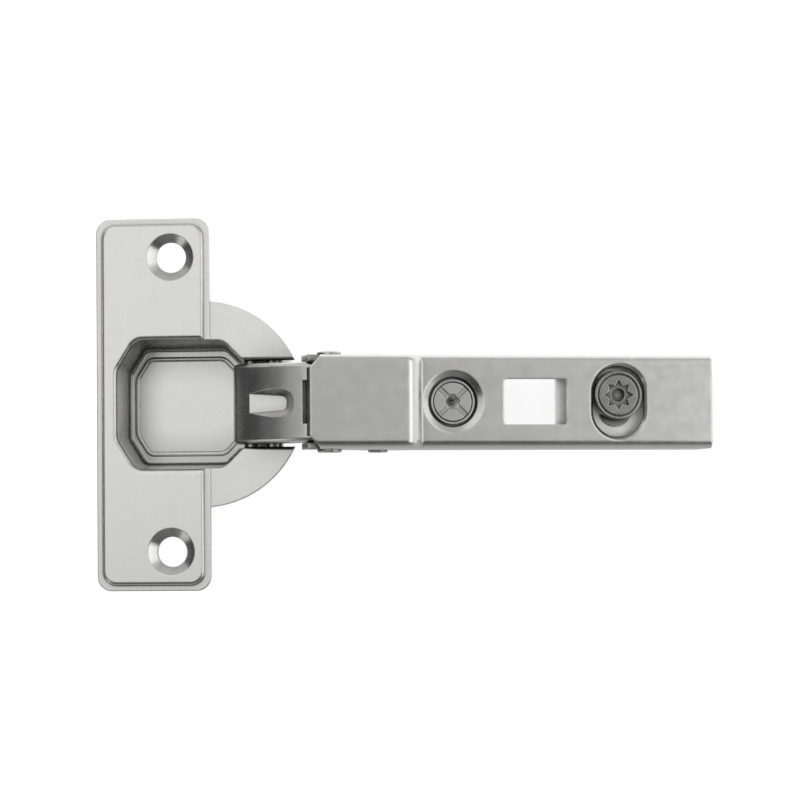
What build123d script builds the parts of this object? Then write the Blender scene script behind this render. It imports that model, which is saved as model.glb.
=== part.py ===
from build123d import *

import os
from math import acos, atan2, cos, degrees, hypot, pi, radians, sin, tan

# Concealed cabinet hinge, shown fully open.
# The origin is the cup's centre on the door's inner face. +X points to the door's edge and the arm,
# +Y runs along the line of the flange screws, +Z points out of the door face. Sizes in millimetres.

# Fits
RUNNING_FIT = 0.05
LINK_SIDE_GAP = 0.55
LINK_ARM_GAP = 0.1
LINK_PLAY = 0.2
SHEET_GAP = 0.3

# Cup pressing
CUP_SHEET = 1.0
POCKET_DEPTH = 10.6
POCKET_DRAFT = 5.0
POCKET_LEAN = 5.5
POCKET_LEFT = 15.2
POCKET_HALF_WIDTH = 11.3
POCKET_STRAIGHT_LEFT = 6.0
POCKET_CHAMFER_LEFT = 3.3
POCKET_RIGHT = 3.8
POCKET_CHAMFER_RIGHT = 4.6
POCKET_CORNER = 2.6
POCKET_FLOOR_ROUND = 0.7
POCKET_RIM_ROUND = 0.8
FLANGE_LENGTH = 65.8
FLANGE_WIDTH = 20.3
FLANGE_LEFT = 18.9
FLANGE_CORNER = 2.5
LIP = 1.0
PLATEAU_TOP = 1.7
PLATEAU_ROUND = 0.6
WING_RADIUS = 18.2
WING_SHEET = 0.8
SCREW_SPACING = 52.0
SCREW_LINE = 5.5
SCREW_HOLE = 5.3
SCREW_DIMPLE = 8.4
SCREW_CONE = 110.0
SCREW_PAD_WALL = 0.8
CHEEK_END = 15.0
CHEEK_DROP = 5.6
THROAT_FLOOR_END = 10.0
RAMP_END = 12.7
RAMP_RISE = 3.5
THROAT_BEND = 0.7

# Linkage: cup pivots, front arm pivot and the rear one in the arm's own frame
OUTER_CUP_PIVOT = (7.94, -3.89)
INNER_CUP_PIVOT = (11.75, -3.9)
FRONT_ARM_PIVOT = (23.21, 4.0)
REAR_PIVOT_ALONG = 10.12
REAR_PIVOT_BELOW = 7.26
ARM_DIP = 20.0
DOOR_RIM_CLEAR = 0.5
DOOR_RIM_START = 17.0
DOOR_RIM_END = 22.9

# Outer link
OUTER_LINK_SHEET = 1.1
WEB_HEIGHT = 5.2
WEB_CROWN = 30.0
WEB_MIDDLE = 6.5
WEB_START = 1.4
WEB_END = 14.9
WEB_BEND = 2.8
WEB_LIP = 2.6
WEB_SIDE_ROUND = 0.9
OUTER_EYE = 2.2
FRONT_EYE = 2.7
THROAT_GAP = 0.3
DENT_LENGTH = 7.4
DENT_LEVEL = 2.2
DENT_END = 15.4
DENT_HALF_WIDTH = 1.75
DENT_END_HALF_WIDTH = 1.2
DENT_SLOPE = 25.0
DENT_SHEET = 0.8
WEB_NOTCH_WIDTH = 7.6
WEB_NOTCH_DEPTH = 0.5

# Inner link
INNER_LINK_SHEET = 1.1
INNER_EYE = 2.2
ARCH_HEIGHT = 1.9
ARCH_ROUND = 1.2
LOOSE_EYE_PLAY = 1.15
LOOSE_EYE_SHIFT = (-0.3, 1.0)
LOOSE_EYE_WALL = 1.1
BRIDGE_LENGTH = 3.4
TOP_PLATE_START = 17.6

# Rivets and axles
OUTER_RIVET = 2.4
CUP_AXLE = 2.2
FRONT_AXLE = 2.4
REAR_AXLE = 2.2
RIVET_HEAD = 4.3
REAR_RIVET_HEAD = 3.5
RIVET_HEAD_HEIGHT = 0.6
INNER_HEAD_HEIGHT = 0.45

# Arm pressing, measured from the front arm pivot along the arm and square to it
ARM_SHEET = 1.1
ARM_WIDTH = 16.5
ARM_END = 68.9
ARM_ROOF = 2.4
ARM_WALL = 11.0
ARM_EDGE_ROUND = 1.5
HEAD_ROOF = 4.1
HEAD_FRONT = 4.2
HEAD_CLIP = 2.2
HEAD_ROLL_START = 13.2
HEAD_ROLL_ROUND = 3.2
HEAD_ROLL_VALLEY = 0.4
FRONT_LUG = 4.0
REAR_LUG = 3.4
WINDOW_START = 30.9
WINDOW_LENGTH = 11.5
WINDOW_WIDTH = 8.0
WINDOW_CORNER = 0.6
SLOT_PLACE = 51.8
SLOT_WIDTH = 9.3
SLOT_LENGTH = 12.5
SLOT_EDGE = 0.6

# Overlay screw in its funnel
SCREW_PLACE = 21.8
FUNNEL_TOP = 11.0
FUNNEL_BOTTOM = 8.8
FUNNEL_DEPTH = 0.7
SEAT_DEPTH = 1.1
SCREW_HEAD = 7.8
SCREW_HEAD_HEIGHT = 1.0
SCREW_RIM = 0.3
SCREW_GROOVE = 0.25
SCREW_GROOVE_DEPTH = 0.5
SCREW_SHANK = 5.0
SCREW_NECK = 3.2
SCREW_TIP = 5.0
SCREW_TIP_HEIGHT = 0.8
SCREW_DIMPLE_TOP = 2.8
SCREW_CROSS = 0.95
SCREW_CROSS_DEPTH = 0.2

# Depth cam
CAM_HEAD = 8.75
CAM_THROW = 2.5
CAM_PIVOT_SIDE = -1.3
CAM_TOP = 0.3
CAM_COLLAR = 6.0
CAM_COLLAR_HEIGHT = 0.5
CAM_STUD = 4.0
CAM_WASHER = 7.6
CAM_WASHER_HEIGHT = 0.8
CAM_RIVET_HEIGHT = 0.7
CAM_RIVET = 5.2
CAM_RING = 0.5
CAM_GROOVE = 0.4
CAM_GROOVE_DEPTH = 0.3
CAM_EDGE = 0.25
CAM_STAR_POINTS = 8
CAM_STAR_TIP = 2.7
CAM_STAR_ROOT = 1.75
CAM_STAR_DEPTH = 0.45
CAM_SOCKET = 2.4
CAM_SOCKET_DEPTH = 1.3

# Clip carrier and its catch
CARRIER_TOP = -1.0
CARRIER_SHEET = 1.2
CARRIER_SIDE_GAP = 0.25
CARRIER_START = 18.0
CARRIER_END = 66.4
CARRIER_WALL = 7.0
CARRIER_EDGE = 0.9
LEDGE = 1.2
KEYHOLE_RUN = 2.6
HOOK_PLACE = 27.0
HOOK_WIDTH = 3.0
HOOK_DEPTH = 2.4
CATCH_PLACE = 60.6
CATCH_BELOW = 4.9
CATCH_PIN = 2.0
CATCH_SHEET = 1.0
CATCH_EYE = 2.0
CATCH_REACH = 4.6
CATCH_NOSE = 1.6
CATCH_TAB = 3.4
CATCH_WIRE = 0.6
CATCH_TURNS = 3.75
CATCH_PITCH = 0.75

# Closing spring
SPRING_WIRE = 0.8
SPRING_TURNS = 5
SPRING_PITCH = 1.0
SPRING_PLAY = 0.15
COIL_POINTS = 12
WIRE_SIDES = 8

# Places worked out from the sizes above
ARM_INNER = ARM_WIDTH / 2 - ARM_SHEET
OUTER_LINK_WIDTH = 2 * (ARM_INNER - LINK_ARM_GAP)
LINK_INNER = OUTER_LINK_WIDTH / 2 - OUTER_LINK_SHEET
INNER_LINK_WIDTH = 2 * (LINK_INNER - INNER_HEAD_HEIGHT - LINK_PLAY)
CHEEK_INNER = OUTER_LINK_WIDTH / 2 + LINK_SIDE_GAP
CHEEK_OUTER = CHEEK_INNER + CUP_SHEET
FLANGE_MIDDLE = FLANGE_WIDTH / 2 - FLANGE_LEFT
POT_FLOOR = -POCKET_DEPTH
POT_BOTTOM = -POCKET_DEPTH - CUP_SHEET
ARM_BOTTOM = ARM_ROOF - ARM_WALL
DIP = radians(ARM_DIP)
ROLL_TURN = acos(1 - (HEAD_ROOF - ARM_ROOF) / (HEAD_ROLL_ROUND + HEAD_ROLL_VALLEY))

ARM = Plane(
    origin=(FRONT_ARM_PIVOT[0], 0, FRONT_ARM_PIVOT[1]),
    x_dir=(cos(DIP), 0, -sin(DIP)),
    z_dir=(sin(DIP), 0, cos(DIP)),
)
ARM_SIDE = Plane(origin=ARM.origin, x_dir=ARM.x_dir, z_dir=(0, -1, 0))
ARM_UP = Axis(ARM.origin, ARM.z_dir)

LINK_RUN = FRONT_ARM_PIVOT[0] - OUTER_CUP_PIVOT[0]
LINK_RISE = FRONT_ARM_PIVOT[1] - OUTER_CUP_PIVOT[1]
OUTER_LENGTH = hypot(LINK_RUN, LINK_RISE)
OUTER_ANGLE = atan2(LINK_RISE, LINK_RUN)
OUTER_SIDE = Plane(
    origin=(OUTER_CUP_PIVOT[0], 0, OUTER_CUP_PIVOT[1]),
    x_dir=(cos(OUTER_ANGLE), 0, sin(OUTER_ANGLE)),
    z_dir=(0, -1, 0),
)
OUTER_TOP = Plane(origin=OUTER_SIDE.origin, x_dir=OUTER_SIDE.x_dir, z_dir=OUTER_SIDE.y_dir)

REAR_ARM_PIVOT = ARM.from_local_coords(Vector(REAR_PIVOT_ALONG, 0, -REAR_PIVOT_BELOW))
LOOSE_EYE = (REAR_ARM_PIVOT.X + LOOSE_EYE_SHIFT[0], REAR_ARM_PIVOT.Z + LOOSE_EYE_SHIFT[1])
LOOSE_EYE_BORE = REAR_AXLE / 2 + LOOSE_EYE_PLAY


def pot_block(top, floor, growth, rounding):
    """Drafted eight-sided block between two levels, grown outwards by one sheet or none."""
    right = POCKET_RIGHT + POCKET_CHAMFER_RIGHT
    left = -POCKET_LEFT
    half = POCKET_HALF_WIDTH
    throat = half - POCKET_CHAMFER_RIGHT
    outline = [
        (left, POCKET_STRAIGHT_LEFT),
        (left + POCKET_CHAMFER_LEFT, half),
        (POCKET_RIGHT, half),
        (right, throat),
        (right, -throat),
        (POCKET_RIGHT, -half),
        (left + POCKET_CHAMFER_LEFT, -half),
        (left, -POCKET_STRAIGHT_LEFT),
    ]
    with BuildPart() as block:
        for level in (top, floor):
            with BuildSketch(Plane.XY.offset(level)) as section:
                with Locations((level * tan(radians(POCKET_LEAN)), 0)):
                    Polygon(*outline, align=None)
                fillet(section.vertices(), POCKET_CORNER)
                offset(amount=growth + level * tan(radians(POCKET_DRAFT)))
        loft(ruled=True)
        fillet(block.faces().sort_by(Axis.Z)[0].edges(), rounding)
    return block.part


def rivet_pin(plane, radius, length, head, head_height):
    """Pin across the hinge, centred on its plane, with a domed head on both ends."""
    with BuildPart() as pin:
        with BuildSketch(plane):
            Circle(radius)
        extrude(amount=length / 2, both=True)
        for end in (-1, 1):
            with BuildSketch(plane.offset(end * length / 2)):
                Circle(head / 2)
            extrude(amount=end * head_height)
        tips = pin.faces().sort_by(Axis.Y)
        fillet(tips[0].edges() + tips[-1].edges(), head_height * 0.6)
    return pin.part


def pin_plane(place):
    """Plane of symmetry of the hinge, centred on a pivot."""
    return Plane(origin=(place[0], 0, place[1]), z_dir=(0, 1, 0))


def pocket_rim(edge):
    """True for the edge where the pocket meets the flange's plateau."""
    middle = edge.center()
    return hypot(middle.X, middle.Y) < WING_RADIUS and abs(middle.Z - PLATEAU_TOP) < RUNNING_FIT


def throat_rim(edge):
    """True for the bends where the wings turn down into the cheeks."""
    middle = edge.center()
    on_cheek = abs(abs(middle.Y) - CHEEK_INNER) < RUNNING_FIT
    return on_cheek and middle.X > POCKET_RIGHT and abs(middle.Z - WING_SHEET) < RUNNING_FIT


# Hinge cup
pot_outside = pot_block(PLATEAU_TOP - CUP_SHEET, POT_BOTTOM, CUP_SHEET, POCKET_FLOOR_ROUND + CUP_SHEET / 2)
pot_inside = pot_block(PLATEAU_TOP, POT_FLOOR, 0, POCKET_FLOOR_ROUND)

with BuildPart() as pocket_form:
    add(pot_inside)
    with BuildSketch(Plane.XY.offset(PLATEAU_TOP)):
        Rectangle(2 * FLANGE_LENGTH, 2 * FLANGE_LENGTH)
    extrude(amount=CUP_SHEET)
    fillet(pocket_form.edges().filter_by(pocket_rim), POCKET_RIM_ROUND)

with BuildPart() as hinge_cup:
    with BuildSketch():
        with Locations((FLANGE_MIDDLE, 0)):
            RectangleRounded(FLANGE_WIDTH, FLANGE_LENGTH, FLANGE_CORNER)
    extrude(amount=CUP_SHEET)
    with BuildSketch():
        with Locations((FLANGE_MIDDLE, 0)):
            RectangleRounded(FLANGE_WIDTH - 2 * LIP, FLANGE_LENGTH - 2 * LIP, FLANGE_CORNER)
    extrude(amount=PLATEAU_TOP)
    fillet(hinge_cup.faces().sort_by(Axis.Z)[-1].edges(), PLATEAU_ROUND)
    with BuildSketch():
        with Locations((FLANGE_MIDDLE, 0)):
            inset = 2 * (LIP + CUP_SHEET)
            RectangleRounded(FLANGE_WIDTH - inset, FLANGE_LENGTH - inset, FLANGE_CORNER)
        with Locations((-SCREW_LINE, SCREW_SPACING / 2), (-SCREW_LINE, -SCREW_SPACING / 2)):
            Circle(SCREW_DIMPLE / 2 + SCREW_PAD_WALL, mode=Mode.SUBTRACT)
    extrude(amount=PLATEAU_TOP - CUP_SHEET, mode=Mode.SUBTRACT)
    with BuildSketch():
        Circle(WING_RADIUS)
        with Locations((-WING_RADIUS, 0)):
            Rectangle(2 * WING_RADIUS, 2 * WING_RADIUS, mode=Mode.SUBTRACT)
    extrude(amount=WING_SHEET)
    add(pot_outside)
    with BuildSketch(Plane.XZ):
        Polygon(
            (POCKET_RIGHT, 0),
            (CHEEK_END, 0),
            (CHEEK_END, -CHEEK_DROP),
            (RAMP_END + CUP_SHEET, POT_FLOOR + RAMP_RISE - CUP_SHEET / 2),
            (THROAT_FLOOR_END + CUP_SHEET / 2, POT_BOTTOM),
            (POCKET_RIGHT, POT_BOTTOM),
            align=None,
        )
    extrude(amount=CHEEK_OUTER, both=True)
    add(pocket_form.part, mode=Mode.SUBTRACT)
    with BuildSketch(Plane.XZ):
        Polygon(
            (POCKET_RIGHT, PLATEAU_TOP),
            (WING_RADIUS + 1, PLATEAU_TOP),
            (WING_RADIUS + 1, POT_BOTTOM - 1),
            (RAMP_END + CUP_SHEET / 4, POT_BOTTOM - 1),
            (RAMP_END + CUP_SHEET / 4, POT_FLOOR + RAMP_RISE),
            (RAMP_END, POT_FLOOR + RAMP_RISE),
            (THROAT_FLOOR_END, POT_FLOOR),
            (POCKET_RIGHT, POT_FLOOR),
            align=None,
        )
    extrude(amount=CHEEK_INNER, both=True, mode=Mode.SUBTRACT)
    fillet(hinge_cup.edges().filter_by(throat_rim), THROAT_BEND)
    for pivot, bore in ((OUTER_CUP_PIVOT, OUTER_RIVET), (INNER_CUP_PIVOT, CUP_AXLE)):
        with BuildSketch(Plane.XZ):
            with Locations(pivot):
                Circle(bore / 2 + RUNNING_FIT)
        extrude(amount=2 * CHEEK_OUTER, both=True, mode=Mode.SUBTRACT)
    for side in (-1, 1):
        with BuildSketch(pin_plane(OUTER_CUP_PIVOT).offset(side * CHEEK_OUTER)):
            Circle(REAR_RIVET_HEAD / 2 + SHEET_GAP)
        extrude(amount=side * CHEEK_OUTER, mode=Mode.SUBTRACT)
    with Locations(
        (-SCREW_LINE, SCREW_SPACING / 2, PLATEAU_TOP), (-SCREW_LINE, -SCREW_SPACING / 2, PLATEAU_TOP)
    ):
        CounterSinkHole(SCREW_HOLE / 2, SCREW_DIMPLE / 2, counter_sink_angle=SCREW_CONE)

# Rivets that hang the outer link in the cup's cheeks
with BuildPart() as outer_link_rivets:
    pivot_plane = pin_plane(OUTER_CUP_PIVOT)
    for side in (-1, 1):
        inner_face = LINK_INNER - RUNNING_FIT
        with BuildSketch(pivot_plane.offset(side * (inner_face - INNER_HEAD_HEIGHT))):
            Circle(OUTER_RIVET / 2 + SHEET_GAP)
        extrude(amount=side * INNER_HEAD_HEIGHT)
        with BuildSketch(pivot_plane.offset(side * inner_face)):
            Circle(OUTER_RIVET / 2)
        extrude(amount=side * (CHEEK_OUTER - inner_face))
        with BuildSketch(pivot_plane.offset(side * CHEEK_OUTER)):
            Circle(REAR_RIVET_HEAD / 2)
        extrude(amount=side * INNER_HEAD_HEIGHT)

# Through pins
with BuildPart() as cup_axle:
    add(
        rivet_pin(
            pin_plane(INNER_CUP_PIVOT), CUP_AXLE / 2, 2 * CHEEK_OUTER, REAR_RIVET_HEAD, INNER_HEAD_HEIGHT
        )
    )

with BuildPart() as front_arm_axle:
    add(
        rivet_pin(
            pin_plane(FRONT_ARM_PIVOT), FRONT_AXLE / 2, ARM_WIDTH, RIVET_HEAD, RIVET_HEAD_HEIGHT
        )
    )

with BuildPart() as rear_arm_axle:
    add(
        rivet_pin(
            pin_plane((REAR_ARM_PIVOT.X, REAR_ARM_PIVOT.Z)),
            REAR_AXLE / 2,
            ARM_WIDTH,
            REAR_RIVET_HEAD,
            INNER_HEAD_HEIGHT,
        )
    )

# Outer link
def dent_block(level, growth):
    """Wedge above a level face: the dent's floor outline, grown by a sheet or none, flaring upwards."""
    rise = WEB_HEIGHT + OUTER_LENGTH * sin(OUTER_ANGLE) / 2
    with BuildPart() as block:
        for height in (0, rise):
            with BuildSketch(Plane.XY.offset(level + height)) as section:
                Polygon(
                    (DENT_END - DENT_LENGTH, DENT_HALF_WIDTH),
                    (DENT_END, DENT_END_HALF_WIDTH),
                    (DENT_END, -DENT_END_HALF_WIDTH),
                    (DENT_END - DENT_LENGTH, -DENT_HALF_WIDTH),
                    align=None,
                )
                fillet(section.vertices().sort_by(Axis.X)[-2:], DENT_END_HALF_WIDTH * 0.8)
                offset(amount=growth + height * tan(radians(DENT_SLOPE)))
        loft(ruled=True)
    return block.part


def web_side(edge):
    """True for the two long edges of the web."""
    middle = OUTER_SIDE.to_local_coords(edge.center())
    on_flank = abs(abs(middle.Z) - OUTER_LINK_WIDTH / 2) < RUNNING_FIT
    return on_flank and middle.X < WEB_END and middle.Y > WEB_LIP


web_under = WEB_HEIGHT - OUTER_LINK_SHEET
dent_shell = dent_block(DENT_LEVEL - DENT_SHEET, DENT_SHEET)
dent_hollow = dent_block(DENT_LEVEL, 0)

with BuildPart() as dent_form:
    add(dent_shell)
    with BuildSketch(OUTER_SIDE):
        with Locations((WEB_END - 2 * WEB_NOTCH_DEPTH, WEB_HEIGHT)):
            Rectangle(3 * OUTER_LENGTH, 3 * OUTER_LENGTH, align=(Align.MAX, Align.MAX))
        with Locations((WEB_MIDDLE, WEB_HEIGHT - WEB_CROWN)):
            Circle(WEB_CROWN - OUTER_LINK_SHEET / 2, mode=Mode.INTERSECT)
    extrude(amount=OUTER_LINK_WIDTH, both=True, mode=Mode.INTERSECT)

with BuildPart() as outer_link:
    with BuildSketch(OUTER_SIDE) as flank:
        Polygon(
            (-OUTER_EYE * 0.9, 0),
            (-WEB_START, WEB_HEIGHT),
            (WEB_END, WEB_HEIGHT),
            (OUTER_LENGTH + FRONT_EYE * 0.7, FRONT_EYE * 0.7),
            (OUTER_LENGTH - FRONT_EYE * 0.6, -FRONT_EYE * 0.8),
            (OUTER_LENGTH - FRONT_EYE * 1.6, -THROAT_GAP),
            (0, -THROAT_GAP),
            align=None,
        )
        with Locations((WEB_MIDDLE, WEB_HEIGHT - WEB_CROWN)):
            Circle(WEB_CROWN, mode=Mode.INTERSECT)
        fillet(flank.vertices().sort_by_distance((-WEB_START, WEB_HEIGHT))[0], WEB_BEND)
        Circle(OUTER_EYE)
        with Locations((OUTER_LENGTH, 0)):
            Circle(FRONT_EYE)
    extrude(amount=OUTER_LINK_WIDTH / 2, both=True)
    fillet(outer_link.edges().filter_by(web_side), WEB_SIDE_ROUND)
    with BuildSketch(OUTER_SIDE):
        bend_left = -WEB_START + OUTER_LINK_SHEET
        Polygon(
            (-OUTER_LENGTH, -OUTER_LENGTH),
            (2 * OUTER_LENGTH, -OUTER_LENGTH),
            (2 * OUTER_LENGTH, web_under),
            (bend_left, web_under),
            (bend_left, WEB_LIP),
            (-OUTER_LENGTH, WEB_LIP),
            align=None,
        )
        with Locations((WEB_MIDDLE, WEB_HEIGHT - WEB_CROWN)):
            Circle(WEB_CROWN - OUTER_LINK_SHEET, mode=Mode.INTERSECT)
        with Locations((WEB_END + SHEET_GAP, -OUTER_LENGTH)):
            Rectangle(2 * OUTER_LENGTH, 2 * OUTER_LENGTH, align=(Align.MIN, Align.MIN))
    extrude(amount=LINK_INNER, both=True, mode=Mode.SUBTRACT)
    with BuildSketch(OUTER_TOP.offset(WEB_HEIGHT)):
        with Locations((WEB_END - WEB_NOTCH_DEPTH, 0)):
            Rectangle(OUTER_LENGTH, WEB_NOTCH_WIDTH, align=(Align.MIN, Align.CENTER))
    extrude(amount=-3 * OUTER_LINK_SHEET, mode=Mode.SUBTRACT)
    add(dent_form.part)
    add(dent_hollow, mode=Mode.SUBTRACT)
    for along, bore in ((0, OUTER_RIVET), (OUTER_LENGTH, FRONT_AXLE)):
        with BuildSketch(OUTER_SIDE):
            with Locations((along, 0)):
                Circle(bore / 2 + RUNNING_FIT)
        extrude(amount=OUTER_LINK_WIDTH, both=True, mode=Mode.SUBTRACT)

# Inner link
with BuildPart() as inner_link:
    arch_top = DOOR_RIM_CLEAR + ARCH_HEIGHT
    crown = (DOOR_RIM_END + BRIDGE_LENGTH / 4, arch_top)
    eye_reach = LOOSE_EYE_BORE + LOOSE_EYE_WALL
    eye_top = (LOOSE_EYE[0] + eye_reach * 0.7, LOOSE_EYE[1] + eye_reach * 0.7)
    with BuildSketch(Plane.XZ) as flank:
        Polygon(
            (INNER_CUP_PIVOT[0] + INNER_EYE * 0.7, INNER_CUP_PIVOT[1] - INNER_EYE * 0.7),
            (DOOR_RIM_START, DOOR_RIM_CLEAR),
            (DOOR_RIM_END, DOOR_RIM_CLEAR),
            (LOOSE_EYE[0] - eye_reach * 0.7, LOOSE_EYE[1] - eye_reach * 0.7),
            eye_top,
            crown,
            (DOOR_RIM_START - ARCH_HEIGHT / 2, arch_top),
            (INNER_CUP_PIVOT[0] - INNER_EYE * 0.7, INNER_CUP_PIVOT[1] + INNER_EYE * 0.7),
            align=None,
        )
        fillet(flank.vertices().group_by(Axis.Y)[-1], ARCH_ROUND)
        with Locations(INNER_CUP_PIVOT):
            Circle(INNER_EYE)
        with Locations(LOOSE_EYE):
            Circle(eye_reach)
    extrude(amount=INNER_LINK_WIDTH / 2, both=True)
    fall = atan2(eye_top[1] - crown[1], eye_top[0] - crown[0])
    bridge_plane = Plane(origin=(crown[0], 0, crown[1]), x_dir=(cos(fall), 0, sin(fall)), z_dir=(0, -1, 0))
    with BuildSketch(bridge_plane):
        Rectangle(4 * OUTER_LENGTH, 4 * OUTER_LENGTH)
        with Locations((BRIDGE_LENGTH / 2, -INNER_LINK_SHEET)):
            Rectangle(BRIDGE_LENGTH, OUTER_LENGTH, align=(Align.MIN, Align.MIN), mode=Mode.SUBTRACT)
    extrude(amount=INNER_LINK_WIDTH / 2 - INNER_LINK_SHEET, both=True, mode=Mode.SUBTRACT)
    with BuildSketch(Plane.XZ):
        with Locations((TOP_PLATE_START, arch_top)):
            Rectangle(crown[0] - TOP_PLATE_START, INNER_LINK_SHEET, align=(Align.MIN, Align.MAX))
    extrude(amount=INNER_LINK_WIDTH / 2 - INNER_LINK_SHEET / 2, both=True)
    for place, bore in ((INNER_CUP_PIVOT, CUP_AXLE / 2 + RUNNING_FIT), (LOOSE_EYE, LOOSE_EYE_BORE)):
        with BuildSketch(Plane.XZ):
            with Locations(place):
                Circle(bore)
        extrude(amount=INNER_LINK_WIDTH, both=True, mode=Mode.SUBTRACT)


# Torsion springs
def torsion_spring(seat, wire, radius, pitch, turns, first_leg, last_leg):
    """Coil about the seat's z axis from its x axis, with a straight leg off both ends."""
    last = 2 * pi * turns
    points = [(radius, -first_leg, 0), (radius, -first_leg / 2, 0)]
    for step in range(round(turns * COIL_POINTS) + 1):
        angle = 2 * pi * step / COIL_POINTS
        points.append((radius * cos(angle), radius * sin(angle), pitch * step / COIL_POINTS))
    for reach in (last_leg / 2, last_leg):
        end_x = radius * cos(last) - reach * sin(last)
        end_y = radius * sin(last) + reach * cos(last)
        points.append((end_x, end_y, pitch * turns))
    with BuildPart() as coil:
        with BuildLine() as path:
            Spline(*points)
        with BuildSketch(Plane(origin=path.line @ 0, z_dir=path.line % 0)):
            RegularPolygon(wire / 2, WIRE_SIDES)
        sweep(path=path.line)
    return coil.part.moved(Location(seat))


spring_radius = CUP_AXLE / 2 + SPRING_PLAY + SPRING_WIRE / 2
spring_seat = Plane(
    origin=(INNER_CUP_PIVOT[0], SPRING_WIRE / 2 + SHEET_GAP - INNER_LINK_WIDTH / 2 + INNER_LINK_SHEET,
            INNER_CUP_PIVOT[1]),
    x_dir=(-1, 0, 0),
    z_dir=(0, 1, 0),
)
spring_floor_leg = INNER_CUP_PIVOT[1] - POT_FLOOR - SPRING_WIRE
spring_dent_leg = DENT_LEVEL - DENT_SHEET - INNER_CUP_PIVOT[1] - SPRING_PLAY

with BuildPart() as closing_spring:
    add(
        torsion_spring(
            spring_seat,
            SPRING_WIRE,
            spring_radius,
            SPRING_PITCH,
            SPRING_TURNS,
            spring_floor_leg,
            spring_dent_leg,
        )
    )


# Hinge arm
def roof_region(shift, start, end, floor):
    """Side outline under the arm's roof line, with the roof lowered by a sheet or none."""
    turn = degrees(ROLL_TURN)
    with BuildSketch() as region:
        with BuildLine():
            head = Line((start, floor), (start, HEAD_ROOF - shift))
            top = Line(head @ 1, (HEAD_ROLL_START, HEAD_ROOF - shift))
            crest = JernArc(top @ 1, top % 1, HEAD_ROLL_ROUND - shift, -turn)
            valley = JernArc(crest @ 1, crest % 1, HEAD_ROLL_VALLEY + shift, turn)
            roof = Line(valley @ 1, (end, ARM_ROOF - shift))
            back = Line(roof @ 1, (end, floor))
            Line(back @ 1, head @ 0)
        make_face()
    return region.sketch


def near_roof(edge):
    """True for the long outer edges of the arm's roof."""
    middle = ARM.to_local_coords(edge.center())
    on_flank = abs(abs(middle.Y) - ARM_WIDTH / 2) < RUNNING_FIT
    behind_front = middle.X > RUNNING_FIT - HEAD_FRONT
    return on_flank and behind_front and middle.Z > ARM_ROOF - RUNNING_FIT


def slot_rim(edge):
    """True for the upper edge of the cross slot."""
    middle = ARM.to_local_coords(edge.center())
    in_slot = abs(middle.X - SLOT_PLACE) < SLOT_LENGTH / 2 and abs(middle.Y) < SLOT_LENGTH / 2 + RUNNING_FIT
    return in_slot and abs(middle.Z - ARM_ROOF) < RUNNING_FIT


seat_level = ARM_ROOF - FUNNEL_DEPTH - SEAT_DEPTH
boss_bottom = seat_level - ARM_SHEET
screw_axis = Axis(ARM.from_local_coords(Vector(SCREW_PLACE, 0, 0)), ARM.z_dir)

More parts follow.
